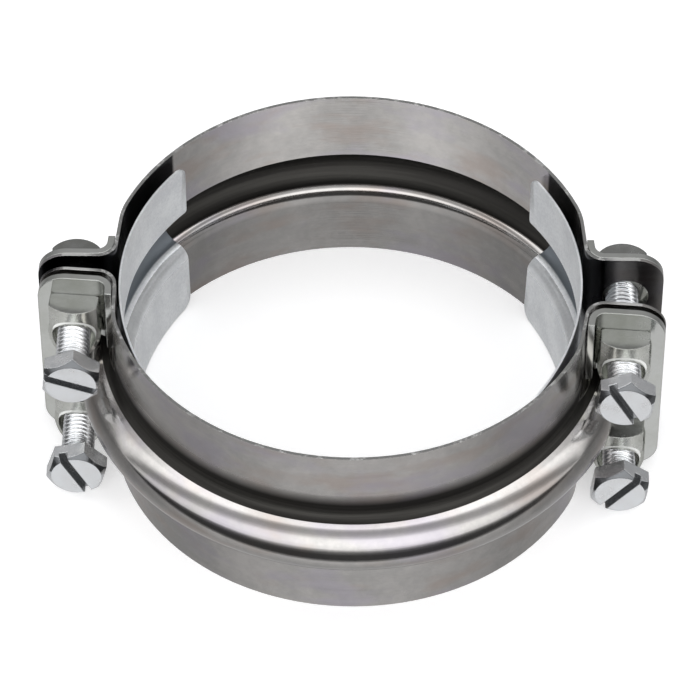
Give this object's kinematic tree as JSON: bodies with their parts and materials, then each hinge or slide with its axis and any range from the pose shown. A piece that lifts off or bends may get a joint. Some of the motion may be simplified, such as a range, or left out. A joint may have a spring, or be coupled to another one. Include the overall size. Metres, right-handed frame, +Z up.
{
  "type": "two-part exhaust clamp ring with sealing strips",
  "caption": "Two beaded sheet half shells with folded ears, bracket plates, crowned saddles and nuts, slotted hexagon screws and springy sealing strips, clamping an exhaust pipe joint.",
  "frame": {"origin": "the rear half shell's own centre, at mid-height of the half shells", "axes": "+Z up along the pipe, +X to the right across the ears, +Y to the rear along the screws"},
  "size_m": [0.1489, 0.1335, 0.0528],
  "materials": {
    "shell_steel": "rolled satin",
    "bracket_zinc": "zinc plated",
    "block_zinc": "zinc plated",
    "screw_zinc": "bright zinc plated",
    "strip_galvanised": "galvanised matt"
  },
  "bodies": {
    "rear": {"rear_half_shell": "shell_steel", "rear_left_bracket": "bracket_zinc", "rear_right_bracket": "bracket_zinc", "upper_left_nut": "block_zinc", "lower_left_nut": "block_zinc", "upper_right_nut": "block_zinc", "lower_right_nut": "block_zinc", "left_seal_strip": "strip_galvanised", "right_seal_strip": "strip_galvanised"},
    "front": {"front_half_shell": "shell_steel", "front_left_bracket": "bracket_zinc", "front_right_bracket": "bracket_zinc", "upper_left_saddle": "block_zinc", "lower_left_saddle": "block_zinc", "upper_right_saddle": "block_zinc", "lower_right_saddle": "block_zinc"},
    "upper_left_bolt": {"upper_left_screw": "screw_zinc"},
    "lower_left_bolt": {"lower_left_screw": "screw_zinc"},
    "upper_right_bolt": {"upper_right_screw": "screw_zinc"},
    "lower_right_bolt": {"lower_right_screw": "screw_zinc"}
  },
  "joints": [
    {"name": "closing", "type": "slide", "parent": "rear", "child": "front", "axis": [0, 1, 0], "range_m": [-0.006, 0.00305], "deforming": ["left_seal_strip", "right_seal_strip"]},
    {"name": "upper_left_turn", "type": "hinge", "parent": "rear", "child": "upper_left_bolt", "pos_m": [-0.0655, 0.0062, 0.0127], "axis": [0, 1, 0], "continuous": true},
    {"name": "lower_left_turn", "type": "hinge", "parent": "rear", "child": "lower_left_bolt", "pos_m": [-0.0655, 0.0062, -0.0187], "axis": [0, 1, 0], "continuous": true},
    {"name": "upper_right_turn", "type": "hinge", "parent": "rear", "child": "upper_right_bolt", "pos_m": [0.0647, 0.0062, 0.0127], "axis": [0, 1, 0], "continuous": true},
    {"name": "lower_right_turn", "type": "hinge", "parent": "rear", "child": "lower_right_bolt", "pos_m": [0.0647, 0.0062, -0.0187], "axis": [0, 1, 0], "continuous": true}
  ]
}
